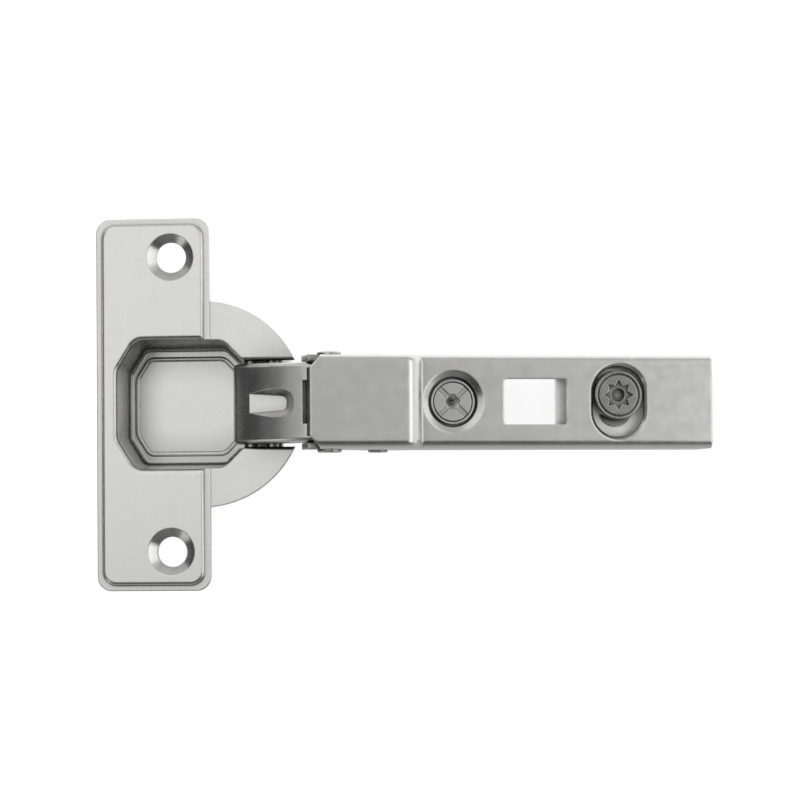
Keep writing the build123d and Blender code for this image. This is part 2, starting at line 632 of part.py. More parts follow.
with BuildPart() as hinge_arm:
    with BuildSketch(ARM_SIDE):
        add(roof_region(0, -HEAD_FRONT, ARM_END, ARM_BOTTOM))
        Polygon(
            (-ARM_END, 0),
            (0, -FRONT_LUG),
            (REAR_PIVOT_ALONG, -REAR_PIVOT_BELOW - REAR_LUG),
            (REAR_PIVOT_ALONG, -ARM_END),
            (-ARM_END, -ARM_END),
            align=None,
            mode=Mode.SUBTRACT,
        )
        Polygon(
            (REAR_PIVOT_ALONG, ARM_BOTTOM),
            (REAR_PIVOT_ALONG, -REAR_PIVOT_BELOW - REAR_LUG),
            (REAR_PIVOT_ALONG + 2 * REAR_LUG, ARM_BOTTOM),
            align=None,
        )
        Circle(FRONT_LUG)
        with Locations((REAR_PIVOT_ALONG, -REAR_PIVOT_BELOW)):
            Circle(REAR_LUG)
    extrude(amount=ARM_WIDTH / 2, both=True)
    fillet(hinge_arm.edges().filter_by(near_roof), ARM_EDGE_ROUND)
    with BuildSketch(ARM_SIDE):
        add(roof_region(ARM_SHEET, -ARM_END, 2 * ARM_END, -ARM_END))
    extrude(amount=ARM_INNER, both=True, mode=Mode.SUBTRACT)
    with BuildSketch(ARM.offset(HEAD_ROOF)):
        for side in (-1, 1):
            Polygon(
                (-HEAD_FRONT, side * (ARM_WIDTH / 2 - HEAD_CLIP)),
                (-HEAD_FRONT + HEAD_CLIP, side * ARM_WIDTH / 2),
                (-HEAD_FRONT + HEAD_CLIP, side * ARM_WIDTH),
                (-2 * HEAD_FRONT, side * ARM_WIDTH),
                (-2 * HEAD_FRONT, side * (ARM_WIDTH / 2 - HEAD_CLIP)),
                align=None,
            )
    extrude(amount=-HEAD_CLIP, mode=Mode.SUBTRACT)
    with BuildSketch(ARM.offset(boss_bottom)):
        with Locations((SCREW_PLACE, 0)):
            Circle(FUNNEL_TOP / 2)
    extrude(amount=ARM_ROOF - ARM_SHEET / 2 - boss_bottom)
    with BuildSketch(ARM_SIDE):
        Polygon(
            (SCREW_PLACE, ARM_ROOF),
            (SCREW_PLACE + FUNNEL_TOP / 2, ARM_ROOF),
            (SCREW_PLACE + FUNNEL_BOTTOM / 2, ARM_ROOF - FUNNEL_DEPTH),
            (SCREW_PLACE + FUNNEL_BOTTOM / 2, seat_level),
            (SCREW_PLACE + SCREW_SHANK / 2 + RUNNING_FIT, seat_level),
            (SCREW_PLACE + SCREW_SHANK / 2 + RUNNING_FIT, boss_bottom - SHEET_GAP),
            (SCREW_PLACE, boss_bottom - SHEET_GAP),
            align=None,
        )
    revolve(axis=screw_axis, mode=Mode.SUBTRACT)
    with BuildSketch(ARM.offset(ARM_ROOF)):
        with Locations((WINDOW_START + WINDOW_LENGTH / 2, 0)):
            RectangleRounded(WINDOW_LENGTH, WINDOW_WIDTH, WINDOW_CORNER)
        with Locations((SLOT_PLACE, 0)):
            SlotOverall(SLOT_LENGTH, SLOT_WIDTH, rotation=90)
    extrude(amount=-2 * ARM_SHEET, mode=Mode.SUBTRACT)
    chamfer(hinge_arm.edges().filter_by(slot_rim), SLOT_EDGE)
    for along, below, bore in ((0, 0, FRONT_AXLE), (REAR_PIVOT_ALONG, REAR_PIVOT_BELOW, REAR_AXLE)):
        with BuildSketch(ARM_SIDE):
            with Locations((along, -below)):
                Circle(bore / 2 + RUNNING_FIT)
        extrude(amount=ARM_WIDTH, both=True, mode=Mode.SUBTRACT)

# Overlay screw
carrier_under = CARRIER_TOP - CARRIER_SHEET
screw_top = seat_level + RUNNING_FIT + SCREW_HEAD_HEIGHT

with BuildPart() as overlay_screw:
    with BuildSketch(ARM_SIDE):
        Polygon(
            (SCREW_PLACE, screw_top - SCREW_DIMPLE_TOP / 2),
            (SCREW_PLACE + SCREW_DIMPLE_TOP / 2, screw_top),
            (SCREW_PLACE + SCREW_HEAD / 2, screw_top),
            (SCREW_PLACE + SCREW_HEAD / 2, seat_level + RUNNING_FIT),
            (SCREW_PLACE + SCREW_SHANK / 2, seat_level + RUNNING_FIT),
            (SCREW_PLACE + SCREW_SHANK / 2, CARRIER_TOP + SHEET_GAP),
            (SCREW_PLACE + SCREW_NECK / 2, CARRIER_TOP + SHEET_GAP),
            (SCREW_PLACE + SCREW_NECK / 2, carrier_under - SHEET_GAP),
            (SCREW_PLACE + SCREW_TIP / 2, carrier_under - SHEET_GAP),
            (SCREW_PLACE + SCREW_TIP / 2, carrier_under - SHEET_GAP - SCREW_TIP_HEIGHT),
            (SCREW_PLACE, carrier_under - SHEET_GAP - SCREW_TIP_HEIGHT),
            align=None,
        )
    revolve(axis=screw_axis)
    with BuildSketch(ARM.offset(screw_top)):
        with Locations((SCREW_PLACE, 0)):
            for turn in (45, 135):
                Rectangle(SCREW_HEAD - 2 * (SCREW_RIM + SCREW_GROOVE), SCREW_CROSS, rotation=turn)
    extrude(amount=-SCREW_CROSS_DEPTH, mode=Mode.SUBTRACT)
    with BuildSketch(ARM.offset(screw_top)):
        with Locations((SCREW_PLACE, 0)):
            Circle(SCREW_HEAD / 2 - SCREW_RIM)
            Circle(SCREW_HEAD / 2 - SCREW_RIM - SCREW_GROOVE, mode=Mode.SUBTRACT)
    extrude(amount=-SCREW_GROOVE_DEPTH, mode=Mode.SUBTRACT)

# Depth cam: a disc in the arm's cross slot, turning on a stud set off its middle
cam_pivot = (SLOT_PLACE, CAM_PIVOT_SIDE)
cam_middle = (SLOT_PLACE, CAM_PIVOT_SIDE + CAM_THROW)
cam_bottom = CARRIER_TOP + CAM_COLLAR_HEIGHT
cam_top = ARM_ROOF - CAM_TOP
washer_top = carrier_under - RUNNING_FIT
washer_bottom = washer_top - CAM_WASHER_HEIGHT

with BuildPart() as depth_cam:
    with BuildSketch(ARM.offset(cam_bottom)):
        with Locations(cam_middle):
            Circle(CAM_HEAD / 2)
    extrude(amount=cam_top - cam_bottom)
    fillet(depth_cam.faces().sort_by(ARM_UP)[-1].edges(), CAM_EDGE)
    with BuildSketch(ARM.offset(CARRIER_TOP + RUNNING_FIT)):
        with Locations(cam_pivot):
            Circle(CAM_COLLAR / 2)
    extrude(amount=CAM_COLLAR_HEIGHT - RUNNING_FIT)
    with BuildSketch(ARM.offset(washer_bottom - CAM_RIVET_HEIGHT)):
        with Locations(cam_pivot):
            Circle(CAM_STUD / 2)
    extrude(amount=cam_bottom - washer_bottom + CAM_RIVET_HEIGHT)
    with BuildSketch(ARM.offset(washer_bottom)):
        with Locations(cam_pivot):
            Circle(CAM_RIVET / 2)
    extrude(amount=-CAM_RIVET_HEIGHT)
    with BuildSketch(ARM.offset(cam_top)):
        with Locations(cam_middle):
            Circle(CAM_HEAD / 2 - CAM_RING)
            Circle(CAM_HEAD / 2 - CAM_RING - CAM_GROOVE, mode=Mode.SUBTRACT)
    extrude(amount=-CAM_GROOVE_DEPTH, mode=Mode.SUBTRACT)
    star = []
    for step in range(2 * CAM_STAR_POINTS):
        reach = CAM_STAR_ROOT if step % 2 else CAM_STAR_TIP
        angle = pi * step / CAM_STAR_POINTS
        star.append((reach * cos(angle), reach * sin(angle)))
    with BuildSketch(ARM.offset(cam_top)):
        with Locations(cam_middle):
            Polygon(*star, align=None)
    extrude(amount=-CAM_STAR_DEPTH, mode=Mode.SUBTRACT)
    with BuildSketch(ARM.offset(cam_top)):
        with Locations(cam_middle):
            Circle(CAM_SOCKET / 2)
    extrude(amount=-CAM_SOCKET_DEPTH, mode=Mode.SUBTRACT)

with BuildPart() as cam_washer:
    with BuildSketch(ARM.offset(washer_top)):
        with Locations(cam_pivot):
            Circle(CAM_WASHER / 2)
            Circle(CAM_STUD / 2 + RUNNING_FIT, mode=Mode.SUBTRACT)
    extrude(amount=-CAM_WASHER_HEIGHT)

# Clip carrier inside the arm
carrier_half = ARM_INNER - CARRIER_SIDE_GAP
carrier_inner = carrier_half - CARRIER_SHEET
carrier_length = CARRIER_END - CARRIER_START
catch_pivot = (CATCH_PLACE, -CATCH_BELOW)

with BuildPart() as clip_carrier:
    with BuildSketch(ARM.offset(CARRIER_TOP)):
        with Locations((CARRIER_START, 0)):
            Rectangle(carrier_length, 2 * carrier_half, align=(Align.MIN, Align.CENTER))
    extrude(amount=-CARRIER_WALL)
    roof_edges = clip_carrier.faces().sort_by(ARM_UP)[-1].edges()
    fillet(roof_edges.sort_by(Axis.Y)[0], CARRIER_EDGE)
    fillet(clip_carrier.faces().sort_by(ARM_UP)[-1].edges().sort_by(Axis.Y)[-1], CARRIER_EDGE)
    with BuildSketch(ARM.offset(carrier_under)):
        with Locations((CARRIER_START, 0)):
            Rectangle(3 * carrier_length, 2 * carrier_inner)
    extrude(amount=-CARRIER_WALL, mode=Mode.SUBTRACT)
    with BuildSketch(ARM.offset(CARRIER_TOP)):
        window = WINDOW_LENGTH - 2 * LEDGE
        with Locations((WINDOW_START + window / 2, 0)):
            RectangleRounded(window + 2 * LEDGE, WINDOW_WIDTH + LEDGE, WINDOW_CORNER)
        with Locations((SCREW_PLACE, 0)):
            SlotCenterToCenter(2 * KEYHOLE_RUN, SCREW_NECK + 2 * SHEET_GAP)
        with Locations(cam_pivot):
            Circle(CAM_STUD / 2 + RUNNING_FIT)
    extrude(amount=-2 * CARRIER_SHEET, mode=Mode.SUBTRACT)
    with BuildSketch(ARM_SIDE):
        with Locations((HOOK_PLACE, CARRIER_TOP - CARRIER_WALL)):
            Rectangle(HOOK_WIDTH, 2 * HOOK_DEPTH)
        with Locations(catch_pivot):
            Circle(CATCH_PIN / 2 + RUNNING_FIT)
    extrude(amount=ARM_WIDTH, both=True, mode=Mode.SUBTRACT)

# Catch of the carrier
catch_half = carrier_inner - SHEET_GAP
catch_seat = ARM_SIDE.from_local_coords(Vector(CATCH_PLACE, -CATCH_BELOW, 0))

with BuildPart() as catch_pin:
    with BuildSketch(Plane(origin=catch_seat, z_dir=(0, 1, 0))):
        Circle(CATCH_PIN / 2)
    extrude(amount=carrier_half - RUNNING_FIT, both=True)

with BuildPart() as catch_lever:
    tab_front = CATCH_PLACE + CATCH_EYE + CATCH_WIRE
    with BuildSketch(ARM_SIDE):
        Polygon(
            (CATCH_PLACE - CATCH_REACH, -CATCH_BELOW - CATCH_NOSE),
            (CATCH_PLACE - CATCH_REACH, -CATCH_BELOW - CATCH_NOSE - CATCH_SHEET),
            (CATCH_PLACE - CATCH_REACH + CATCH_SHEET, -CATCH_BELOW - 2 * CATCH_NOSE),
            (CATCH_PLACE + CATCH_EYE / 2, -CATCH_BELOW - CATCH_NOSE),
            (CATCH_PLACE + CATCH_TAB + CATCH_SHEET, -CATCH_BELOW - CATCH_SHEET / 2),
            (CATCH_PLACE + CATCH_TAB + CATCH_SHEET, -CATCH_BELOW + CATCH_SHEET / 2),
            (CATCH_PLACE, -CATCH_BELOW + CATCH_NOSE),
            align=None,
        )
        with Locations(catch_pivot):
            Circle(CATCH_EYE)
    extrude(amount=catch_half, both=True)
    with BuildSketch(ARM_SIDE):
        with Locations((tab_front, -CATCH_BELOW)):
            Rectangle(ARM_END, ARM_WALL, align=(Align.MAX, Align.CENTER))
    extrude(amount=catch_half - CATCH_SHEET, both=True, mode=Mode.SUBTRACT)
    with BuildSketch(ARM_SIDE):
        with Locations(catch_pivot):
            Circle(CATCH_PIN / 2 + RUNNING_FIT)
    extrude(amount=ARM_WIDTH, both=True, mode=Mode.SUBTRACT)

catch_spring_radius = CATCH_PIN / 2 + SPRING_PLAY + CATCH_WIRE / 2
catch_spring_seat = Plane(
    origin=catch_seat - Vector(0, CATCH_PITCH * CATCH_TURNS / 2, 0), x_dir=ARM.x_dir, z_dir=(0, 1, 0)
)
catch_roof_leg = CATCH_BELOW + carrier_under - CATCH_WIRE / 2 - SPRING_PLAY
catch_tab_leg = CATCH_TAB + CATCH_SHEET / 2

with BuildPart() as catch_spring:
    add(
        torsion_spring(
            catch_spring_seat,
            CATCH_WIRE,
            catch_spring_radius,
            CATCH_PITCH,
            CATCH_TURNS,
            catch_roof_leg,
            catch_tab_leg,
        )
    )

# Write one file for each piece
PIECES = {
    "hinge_cup": hinge_cup,
    "outer_link_rivets": outer_link_rivets,
    "cup_axle": cup_axle,
    "outer_link": outer_link,
    "inner_link": inner_link,
    "closing_spring": closing_spring,
    "hinge_arm": hinge_arm,
    "front_arm_axle": front_arm_axle,
    "rear_arm_axle": rear_arm_axle,
    "overlay_screw": overlay_screw,
    "depth_cam": depth_cam,
    "cam_washer": cam_washer,
    "clip_carrier": clip_carrier,
    "catch_lever": catch_lever,
    "catch_pin": catch_pin,
    "catch_spring": catch_spring,
}
os.makedirs("parts", exist_ok=True)
for name, piece in PIECES.items():
    piece.part.label = name
    export_step(piece.part, f"parts/{name}.step")
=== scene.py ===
from math import cos, pi, radians, sin

import bmesh
import bpy
import numpy as np
from mathutils import Matrix, Vector


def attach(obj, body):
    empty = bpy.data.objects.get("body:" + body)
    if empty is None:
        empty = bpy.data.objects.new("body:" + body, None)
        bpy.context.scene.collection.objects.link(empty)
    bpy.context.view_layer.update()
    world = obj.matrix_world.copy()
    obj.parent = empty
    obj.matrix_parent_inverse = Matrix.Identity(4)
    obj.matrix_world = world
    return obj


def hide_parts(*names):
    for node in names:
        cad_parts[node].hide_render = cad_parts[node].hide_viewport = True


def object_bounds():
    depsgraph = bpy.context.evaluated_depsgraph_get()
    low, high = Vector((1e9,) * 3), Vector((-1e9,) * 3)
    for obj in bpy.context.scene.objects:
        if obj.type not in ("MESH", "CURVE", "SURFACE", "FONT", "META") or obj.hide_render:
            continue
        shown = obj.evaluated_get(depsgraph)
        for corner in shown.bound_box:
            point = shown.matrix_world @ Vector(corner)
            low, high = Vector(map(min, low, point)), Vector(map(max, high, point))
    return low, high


# Concealed cabinet hinge in satin nickel, fully open, seen from above on a white studio floor.
# Lengths are metres in the frame of the solids: cup centre at the origin, +X along the arm, +Z up.
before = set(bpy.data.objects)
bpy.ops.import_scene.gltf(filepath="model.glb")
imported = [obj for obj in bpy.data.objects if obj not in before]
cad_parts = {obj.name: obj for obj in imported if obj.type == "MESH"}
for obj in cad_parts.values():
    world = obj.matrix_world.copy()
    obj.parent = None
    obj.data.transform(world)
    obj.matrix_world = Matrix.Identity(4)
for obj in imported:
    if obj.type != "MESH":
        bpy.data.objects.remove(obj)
CAD_BOX = [list(corner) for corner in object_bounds()]
MM = 0.001

# View of the photograph
PHOTO_PIXELS = 800
PIXELS_PER_MM = 5.66
CUP_PIXEL = (203.0, 404.4)
TILT_TO_ARM = radians(8.0)
TILT_TO_NEAR_SIDE = radians(2.0)
ROLL = radians(0.4)
CAMERA_DISTANCE = 0.75
CAMERA_END = 10.0
SENSOR_MM = 36.0

# Raised line round the cup's floor: corners of its +Y half, mirrored to the other half
FLOOR_LEVEL = -10.6 * MM
BEAD_CORNERS = [(-13.9, 5.0), (-11.7, 8.5), (2.0, 8.5), (5.0, 5.4)]
BEAD_CORNER = 0.9 * MM
BEAD_HALF_WIDTH = 0.45 * MM
BEAD_RISE = 0.028 * MM
BEAD_ROOT = 0.1 * MM

# Round wire of the two springs: seat, direction of the coil's start, turns, and sizes in metres
ARM_DIP = radians(20.0)
CLOSING_SEAT = Vector((11.75, -3.5, -3.9)) * MM
CLOSING_START = Vector((-1.0, 0.0, 0.0))
CLOSING_WIRE = 0.8 * MM
CLOSING_RADIUS = 1.65 * MM
CLOSING_PITCH = 1.0 * MM
CLOSING_TURNS = 5.0
CLOSING_LEGS = (5.9 * MM, 5.15 * MM)
CATCH_SEAT = Vector((78.479, -1.406, -21.331)) * MM
CATCH_START = Vector((cos(ARM_DIP), 0.0, -sin(ARM_DIP)))
CATCH_WIRE = 0.6 * MM
CATCH_RADIUS = 1.45 * MM
CATCH_PITCH = 0.75 * MM
CATCH_TURNS = 3.75
CATCH_LEGS = (2.25 * MM, 3.9 * MM)


# Shared effects of the finish, with painted shade in crevices and painted highlight on edges
def new_group(name, inputs, outputs):
    """Empty shader group with float, vector or colour sockets, given as (name, kind, start value)."""
    group = bpy.data.node_groups.new(name, "ShaderNodeTree")
    for label, kind, start in inputs:
        socket = group.interface.new_socket(label, in_out="INPUT", socket_type=kind)
        if start is not None:
            socket.default_value = start
    for label, kind in outputs:
        group.interface.new_socket(label, in_out="OUTPUT", socket_type=kind)
    return group, group.nodes.new("NodeGroupInput"), group.nodes.new("NodeGroupOutput")


def math_node(tree, operation, first, second):
    """Math node whose operands are sockets or plain numbers; gives its output socket."""
    node = tree.nodes.new("ShaderNodeMath")
    node.operation = operation
    for index, operand in enumerate((first, second)):
        if isinstance(operand, (int, float)):
            node.inputs[index].default_value = operand
        else:
            tree.links.new(operand, node.inputs[index])
    return node.outputs[0]


def noise_node(tree, vector, scale, detail, roughness):
    """Noise texture on a vector, with its scale from a socket; gives its value socket."""
    node = tree.nodes.new("ShaderNodeTexNoise")
    node.inputs["Detail"].default_value = detail
    node.inputs["Roughness"].default_value = roughness
    tree.links.new(vector, node.inputs["Vector"])
    tree.links.new(scale, node.inputs["Scale"])
    return node.outputs["Fac"]


def satin_group():
    """Matt speckle of the plating: fine noise for the grain plus broad noise for cloudy patches."""
    group, source, sink = new_group(
        "Satin plating",
        [("Vector", "NodeSocketVector", None), ("Grain scale", "NodeSocketFloat", GRAIN_SCALE),
         ("Cloud scale", "NodeSocketFloat", CLOUD_SCALE)],
        [("Grain", "NodeSocketFloat"), ("Cloud", "NodeSocketFloat")],
    )
    vector = source.outputs["Vector"]
    grain = noise_node(group, vector, source.outputs["Grain scale"], detail=3.0, roughness=0.6)
    cloud = noise_node(group, vector, source.outputs["Cloud scale"], detail=4.0, roughness=0.55)
    group.links.new(grain, sink.inputs["Grain"])
    group.links.new(cloud, sink.inputs["Cloud"])
    return group


def edge_group():
    """Broken sheet edges: a bevelled normal, and a mask of how far it leaves the face's own normal."""
    group, source, sink = new_group(
        "Broken edge",
        [("Gain", "NodeSocketFloat", EDGE_GAIN), ("Radius", "NodeSocketFloat", EDGE_RADIUS)],
        [("Normal", "NodeSocketVector"), ("Edge", "NodeSocketFloat")],
    )
    bevel = group.nodes.new("ShaderNodeBevel")
    bevel.samples = EDGE_SAMPLES
    group.links.new(source.outputs["Radius"], bevel.inputs["Radius"])
    face = group.nodes.new("ShaderNodeNewGeometry")
    dot = group.nodes.new("ShaderNodeVectorMath")
    dot.operation = "DOT_PRODUCT"
    group.links.new(bevel.outputs["Normal"], dot.inputs[0])
    group.links.new(face.outputs["Normal"], dot.inputs[1])
    turned = math_node(group, "SUBTRACT", 1.0, dot.outputs["Value"])
    raised = math_node(group, "MULTIPLY", turned, source.outputs["Gain"])
    held = math_node(group, "MINIMUM", raised, 1.0)
    group.links.new(bevel.outputs["Normal"], sink.inputs["Normal"])
    group.links.new(held, sink.inputs["Edge"])
    return group


def crevice_group():
    """Painted shade of gaps and inside corners, darkening the base colour by the share of sky that a
    point sees within a short reach. Faces that lie flat and look up mirror the open sky, so they are
    spared by the share given."""
    group, source, sink = new_group(
        "Crevice shade",
        [("Reach", "NodeSocketFloat", CREVICE_REACH), ("Depth", "NodeSocketFloat", CREVICE_DEPTH),
         ("Spare", "NodeSocketFloat", LYING_SPARE)],
        [("Open", "NodeSocketFloat")],
    )
    reach = group.nodes.new("ShaderNodeAmbientOcclusion")
    reach.samples = CREVICE_SAMPLES
    group.links.new(source.outputs["Reach"], reach.inputs["Distance"])
    seen = math_node(group, "POWER", reach.outputs["AO"], source.outputs["Depth"])
    place = group.nodes.new("ShaderNodeTexCoord")
    split = group.nodes.new("ShaderNodeSeparateXYZ")
    group.links.new(place.outputs["Normal"], split.inputs["Vector"])
    lying = group.nodes.new("ShaderNodeMapRange")
    lying.interpolation_type = "SMOOTHSTEP"
    lying.inputs["From Min"].default_value = LYING_FROM
    lying.inputs["From Max"].default_value = LYING_TO
    group.links.new(split.outputs["Z"], lying.inputs["Value"])
    spared = math_node(group, "MULTIPLY", lying.outputs["Result"], source.outputs["Spare"])
    hidden = math_node(group, "SUBTRACT", 1.0, seen)
    lifted = math_node(group, "MULTIPLY", hidden, spared)
    group.links.new(math_node(group, "ADD", seen, lifted), sink.inputs["Open"])
    return group


GRAIN_SCALE = 2600.0
GRAIN_DEPTH = 0.05 * MM
GRAIN_STRENGTH = 0.05
CLOUD_SCALE = 420.0
ROUGHNESS_SPREAD = 0.05
EDGE_GAIN = 4.0
EDGE_RADIUS = 0.22 * MM
EDGE_SAMPLES = 6
CREVICE_REACH = 2.5 * MM
CREVICE_DEPTH = 1.4
PAINTED_SHADE_TONE = 0.12
CREVICE_SAMPLES = 8
LYING_FROM = 0.93
LYING_TO = 0.99
LYING_SPARE = 0.5
SATIN = satin_group()
CREVICE = crevice_group()
BROKEN_EDGE = edge_group()


def place_group(tree, group, **values):
    """Node of a shared group in a material, with its own input values."""
    node = tree.nodes.new("ShaderNodeGroup")
    node.node_tree = group
    for label, value in values.items():
        node.inputs[label.replace("_", " ")].default_value = value
    return node


def ramp_between(tree, factor, low, high):
    """Map a 0..1 factor to low..high."""
    node = tree.nodes.new("ShaderNodeMapRange")
    node.inputs["To Min"].default_value = low
    node.inputs["To Max"].default_value = high
    tree.links.new(factor, node.inputs["Value"])
    return node.outputs["Result"]


def mix_colour(tree, factor, first, second):
    """Mix two colours by a factor socket; gives the colour socket."""
    node = tree.nodes.new("ShaderNodeMix")
    node.data_type = "RGBA"
    tree.links.new(factor, node.inputs["Factor"])
    for name, colour in (("A", first), ("B", second)):
        socket = [entry for entry in node.inputs if entry.name == name and entry.type == "RGBA"][0]
        if isinstance(colour, tuple):
            socket.default_value = colour
        else:
            tree.links.new(colour, socket)
    return [entry for entry in node.outputs if entry.type == "RGBA"][0]


def plated(
    name, colour, roughness, mottle=0.09, edge_radius=EDGE_RADIUS, wear_and_highlight_lift=1.12,
    crevice_depth=CREVICE_DEPTH, reach=CREVICE_REACH, metallic=1.0,
):
    """Nickel-plated steel: cloudy base colour and roughness, fine speckle bump, broken edges lightened
    in colour as wear and painted highlight, and painted shade in crevices.
    """
    material = bpy.data.materials.new(name)
    material.use_nodes = True
    tree = material.node_tree
    shader = tree.nodes["Principled BSDF"]
    shader.inputs["Metallic"].default_value = metallic
    place = tree.nodes.new("ShaderNodeTexCoord")
    satin = place_group(tree, SATIN, Grain_scale=GRAIN_SCALE, Cloud_scale=CLOUD_SCALE)
    tree.links.new(place.outputs["Object"], satin.inputs["Vector"])
    edge = place_group(tree, BROKEN_EDGE, Gain=EDGE_GAIN, Radius=edge_radius)
    dull = tuple(channel * (1.0 - mottle) for channel in colour) + (1.0,)
    clear = tuple(min(channel * (1.0 + mottle), 1.0) for channel in colour) + (1.0,)
    # Edges lightened in colour: partly wear of the plating, partly painted highlight
    worn_and_highlit = tuple(min(channel * wear_and_highlight_lift, 1.0) for channel in colour) + (1.0,)
    clouded = mix_colour(tree, satin.outputs["Cloud"], dull, clear)
    plain = mix_colour(tree, edge.outputs["Edge"], clouded, worn_and_highlit)
    # Painted shade: the colour darkens towards the shade tone where a point sees little sky
    crevice = place_group(tree, CREVICE, Depth=crevice_depth, Reach=reach)
    shaded = tuple(channel * PAINTED_SHADE_TONE for channel in colour) + (1.0,)
    base = mix_colour(tree, crevice.outputs["Open"], shaded, plain)
    tree.links.new(base, shader.inputs["Base Color"])
    smoothest = roughness - ROUGHNESS_SPREAD
    roughest = roughness + ROUGHNESS_SPREAD
    rough = ramp_between(tree, satin.outputs["Cloud"], smoothest, roughest)
    tree.links.new(rough, shader.inputs["Roughness"])
    relief = tree.nodes.new("ShaderNodeBump")
    relief.inputs["Strength"].default_value = GRAIN_STRENGTH
    relief.inputs["Distance"].default_value = GRAIN_DEPTH
    tree.links.new(satin.outputs["Grain"], relief.inputs["Height"])
    tree.links.new(edge.outputs["Normal"], relief.inputs["Normal"])
    tree.links.new(relief.outputs["Normal"], shader.inputs["Normal"])
    return material


NICKEL_CUP = plated("Cup nickel", (0.69, 0.687, 0.68), 0.26, edge_radius=0.3 * MM, wear_and_highlight_lift=1.4,
                    crevice_depth=2.2, reach=7.0 * MM)
NICKEL_ARM = plated("Arm nickel", (0.67, 0.667, 0.66), 0.25, edge_radius=0.45 * MM, wear_and_highlight_lift=1.25,
                    crevice_depth=1.8, reach=5.0 * MM)
NICKEL_LINK = plated("Link nickel", (0.66, 0.657, 0.65), 0.26, crevice_depth=1.3, reach=2.0 * MM)
NICKEL_CARRIER = plated("Carrier nickel", (0.72, 0.717, 0.71), 0.28, crevice_depth=0.5, metallic=0.5)
RIVET_STEEL = plated("Rivet steel", (0.64, 0.635, 0.625), 0.22)
SCREW_STEEL = plated("Screw steel", (0.58, 0.577, 0.57), 0.24, wear_and_highlight_lift=1.5, edge_radius=0.14 * MM,
                     crevice_depth=2.0, reach=1.2 * MM)
# Dark cam steel; its edges are lightened strongly, as wear and painted highlight
CAM_STEEL = plated("Cam steel", (0.3, 0.297, 0.292), 0.27, mottle=0.25, wear_and_highlight_lift=2.9,
                   crevice_depth=2.5, reach=1.2 * MM)
WASHER_STEEL = plated("Washer steel", (0.66, 0.65, 0.635), 0.24)
SPRING_STEEL = plated("Spring steel", (0.42, 0.42, 0.43), 0.3)

FINISHES = {
    "hinge_cup": NICKEL_CUP,
    "hinge_arm": NICKEL_ARM,
    "outer_link": NICKEL_LINK,
    "inner_link": NICKEL_LINK,
    "clip_carrier": NICKEL_CARRIER,
    "catch_lever": NICKEL_CARRIER,
    "outer_link_rivets": RIVET_STEEL,
    "cup_axle": RIVET_STEEL,
    "front_arm_axle": RIVET_STEEL,
    "rear_arm_axle": RIVET_STEEL,
    "catch_pin": RIVET_STEEL,
    "overlay_screw": SCREW_STEEL,
    "depth_cam": CAM_STEEL,
    "cam_washer": WASHER_STEEL,
    "closing_spring": SPRING_STEEL,
    "catch_spring": SPRING_STEEL,
}
for node_name, finish in FINISHES.items():
    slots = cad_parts[node_name].material_slots
    for entry in slots:
        entry.material = finish


# New pieces as computed surfaces
def surface_object(name, points, closed_u, closed_v, material):
    """Object from a grid of points (rows, columns, 3), quads between neighbours, closed where asked."""
    rows, columns = points.shape[:2]
    index = np.arange(rows * columns).reshape(rows, columns)
    if closed_u:
        index = np.vstack([index, index[:1]])
    if closed_v:
        index = np.hstack([index, index[:, :1]])
    corners = [index[:-1, :-1], index[1:, :-1], index[1:, 1:], index[:-1, 1:]]
    quads = np.stack(corners, axis=-1).reshape(-1, 4)
    mesh = bpy.data.meshes.new(name)
    mesh.from_pydata(points.reshape(-1, 3).tolist(), [], quads.tolist())
    mesh.polygons.foreach_set("use_smooth", np.ones(len(quads), dtype=bool))
    mesh.materials.append(material)
    mesh.update()
    piece = bpy.data.objects.new(name, mesh)
    bpy.context.scene.collection.objects.link(piece)
    return piece


def tube_object(name, line, section, across, closed, material):
    """Tube along a line of points: line + p a + q b for the closed section's points (p, q), where b is
    the across direction made square to the line and a is their cross product. Open ends are filled."""
    ahead = np.roll(line, -1, axis=0) - np.roll(line, 1, axis=0)
    if not closed:
        ahead[0] = line[1] - line[0]
        ahead[-1] = line[-1] - line[-2]
    ahead /= np.linalg.norm(ahead, axis=1)[:, None]
    upright = np.array(across)[None, :] - ahead * (ahead @ np.array(across))[:, None]
    upright /= np.linalg.norm(upright, axis=1)[:, None]
    sideways = np.cross(upright, ahead)
    p = section[None, :, :1]
    q = section[None, :, 1:]
    points = line[:, None, :] + p * sideways[:, None, :] + q * upright[:, None, :]
    piece = surface_object(name, points, closed, True, material)
    bm = bmesh.new()
    bm.from_mesh(piece.data)
    if not closed:
        bmesh.ops.holes_fill(bm, edges=bm.edges)
    bmesh.ops.recalc_face_normals(bm, faces=bm.faces)
    bm.to_mesh(piece.data)
    bm.free()
    return piece


def round_section(width):
    """Circle of a wire: (r cos v, r sin v)."""
    v = np.linspace(0.0, 2.0 * pi, TUBE_SIDES, endpoint=False)
    return np.stack([width / 2 * np.cos(v), width / 2 * np.sin(v)], axis=-1)


def swell_section(half_width, rise, root):
    """Low swelling that leaves a flat face without a step: (w v, rise cos(pi v / 2) squared) for v from
    -1 to 1, closed below the face at the depth of its root."""
    v = np.linspace(-1.0, 1.0, TUBE_SIDES)
    top = np.stack([half_width * v, rise * np.cos(pi * v / 2) ** 2], axis=-1)
    return np.vstack([top, [(half_width, -root), (-half_width, -root)]])


